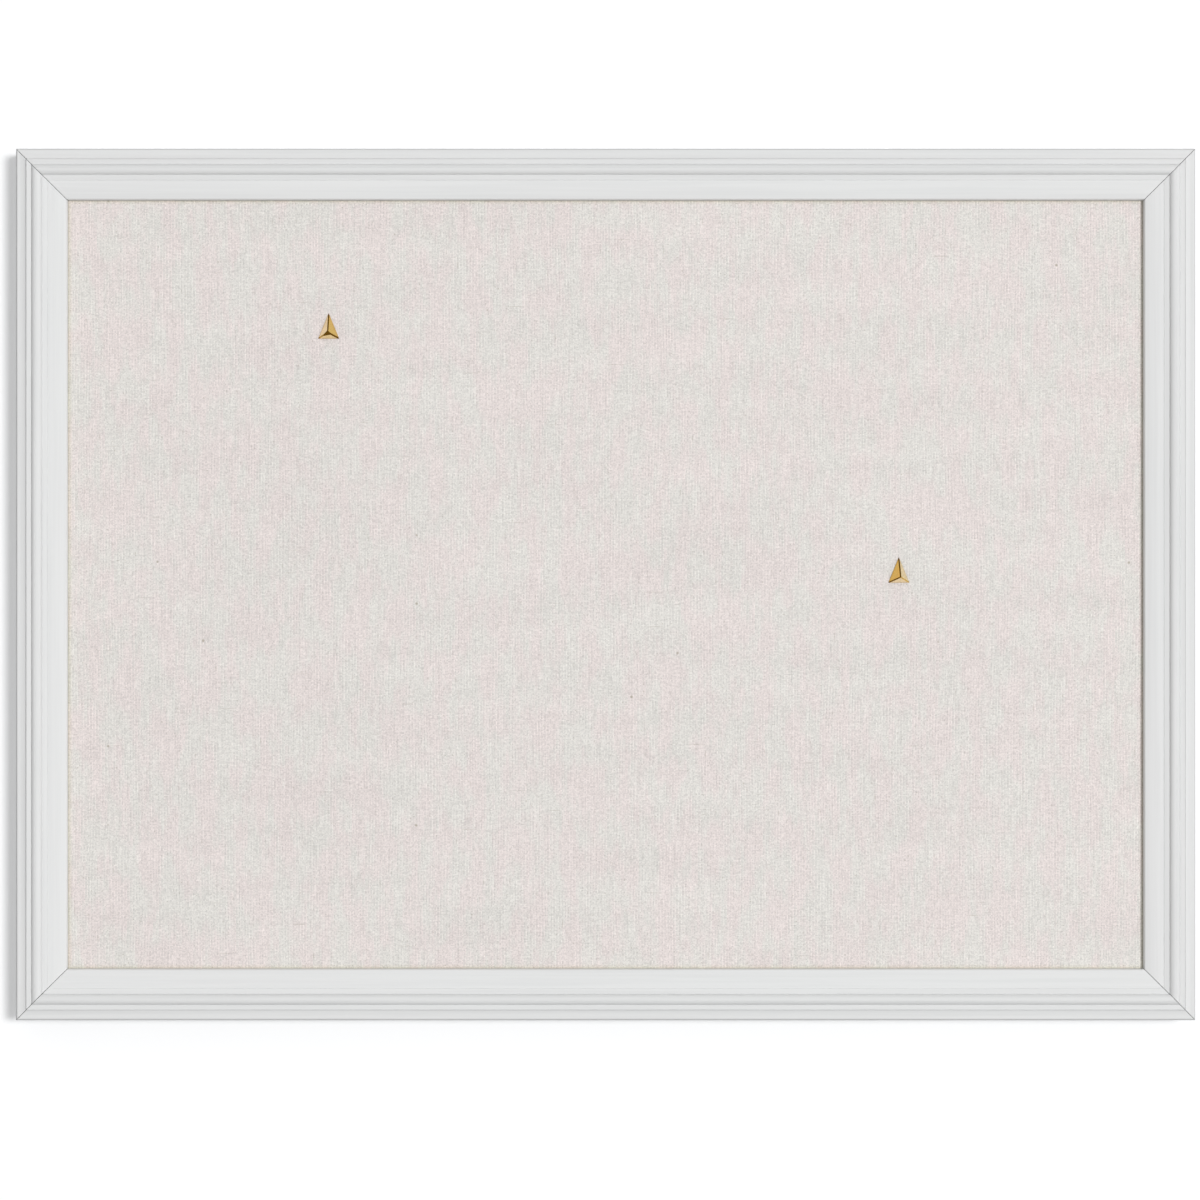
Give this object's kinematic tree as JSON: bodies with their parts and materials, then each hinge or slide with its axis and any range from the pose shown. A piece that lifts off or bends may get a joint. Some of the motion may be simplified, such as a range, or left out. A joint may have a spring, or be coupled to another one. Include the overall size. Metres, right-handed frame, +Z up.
{
  "type": "bulletin board",
  "caption": "Wall-hung bulletin board: linen-covered cork panel in a moulded, mitred, white painted frame, with gold pyramid push pins that pull straight out.",
  "frame": {"origin": "on the wall plane, behind the middle of the board", "axes": "+Z up the wall, +X along the board's width to the viewer's right, -Y out of the wall towards the viewer"},
  "size_m": [0.5842, 0.0247, 0.4318],
  "materials": {
    "painted_frame": "white satin paint over moulded wood, with a faint lengthwise grain",
    "linen": "pale natural linen, plain weave with slubs",
    "cork": "agglomerated cork",
    "fibreboard": "soft wood-fibre insulation board",
    "hardboard": "tempered hardboard, smooth side out",
    "zinc_steel": "bright zinc plate",
    "rubber": "matt black rubber",
    "gold": "polished brass",
    "needle_steel": "polished hardened steel"
  },
  "bodies": {
    "board": {"frame_top_rail": "painted_frame", "frame_right_rail": "painted_frame", "frame_bottom_rail": "painted_frame", "frame_left_rail": "painted_frame", "point_top_1": "zinc_steel", "point_top_2": "zinc_steel", "point_top_3": "zinc_steel", "point_top_4": "zinc_steel", "point_right_1": "zinc_steel", "point_right_2": "zinc_steel", "point_right_3": "zinc_steel", "point_bottom_1": "zinc_steel", "point_bottom_2": "zinc_steel", "point_bottom_3": "zinc_steel", "point_bottom_4": "zinc_steel", "point_left_1": "zinc_steel", "point_left_2": "zinc_steel", "point_left_3": "zinc_steel", "v_nail_top_left_1": "zinc_steel", "v_nail_top_left_2": "zinc_steel", "v_nail_top_right_1": "zinc_steel", "v_nail_top_right_2": "zinc_steel", "v_nail_bottom_left_1": "zinc_steel", "v_nail_bottom_left_2": "zinc_steel", "v_nail_bottom_right_1": "zinc_steel", "v_nail_bottom_right_2": "zinc_steel", "linen_cover": "linen", "cork_sheet": "cork", "fibreboard_core": "fibreboard", "backing_panel": "hardboard", "hanger_left": "zinc_steel", "hanger_left_nail_1": "zinc_steel", "hanger_left_nail_2": "zinc_steel", "hanger_right": "zinc_steel", "hanger_right_nail_1": "zinc_steel", "hanger_right_nail_2": "zinc_steel", "bumper_top_left": "rubber", "bumper_top_right": "rubber", "bumper_bottom_left": "rubber", "bumper_bottom_right": "rubber"},
    "pin_left": {"pin_left_head": "gold", "pin_left_needle": "needle_steel"},
    "pin_right": {"pin_right_head": "gold", "pin_right_needle": "needle_steel"}
  },
  "joints": [
    {"name": "pin_left_pull", "type": "slide", "parent": "board", "child": "pin_left", "axis": [0, -1, 0], "range_m": [0, 0.022]},
    {"name": "pin_right_pull", "type": "slide", "parent": "board", "child": "pin_right", "axis": [0, -1, 0], "range_m": [0, 0.022]}
  ]
}
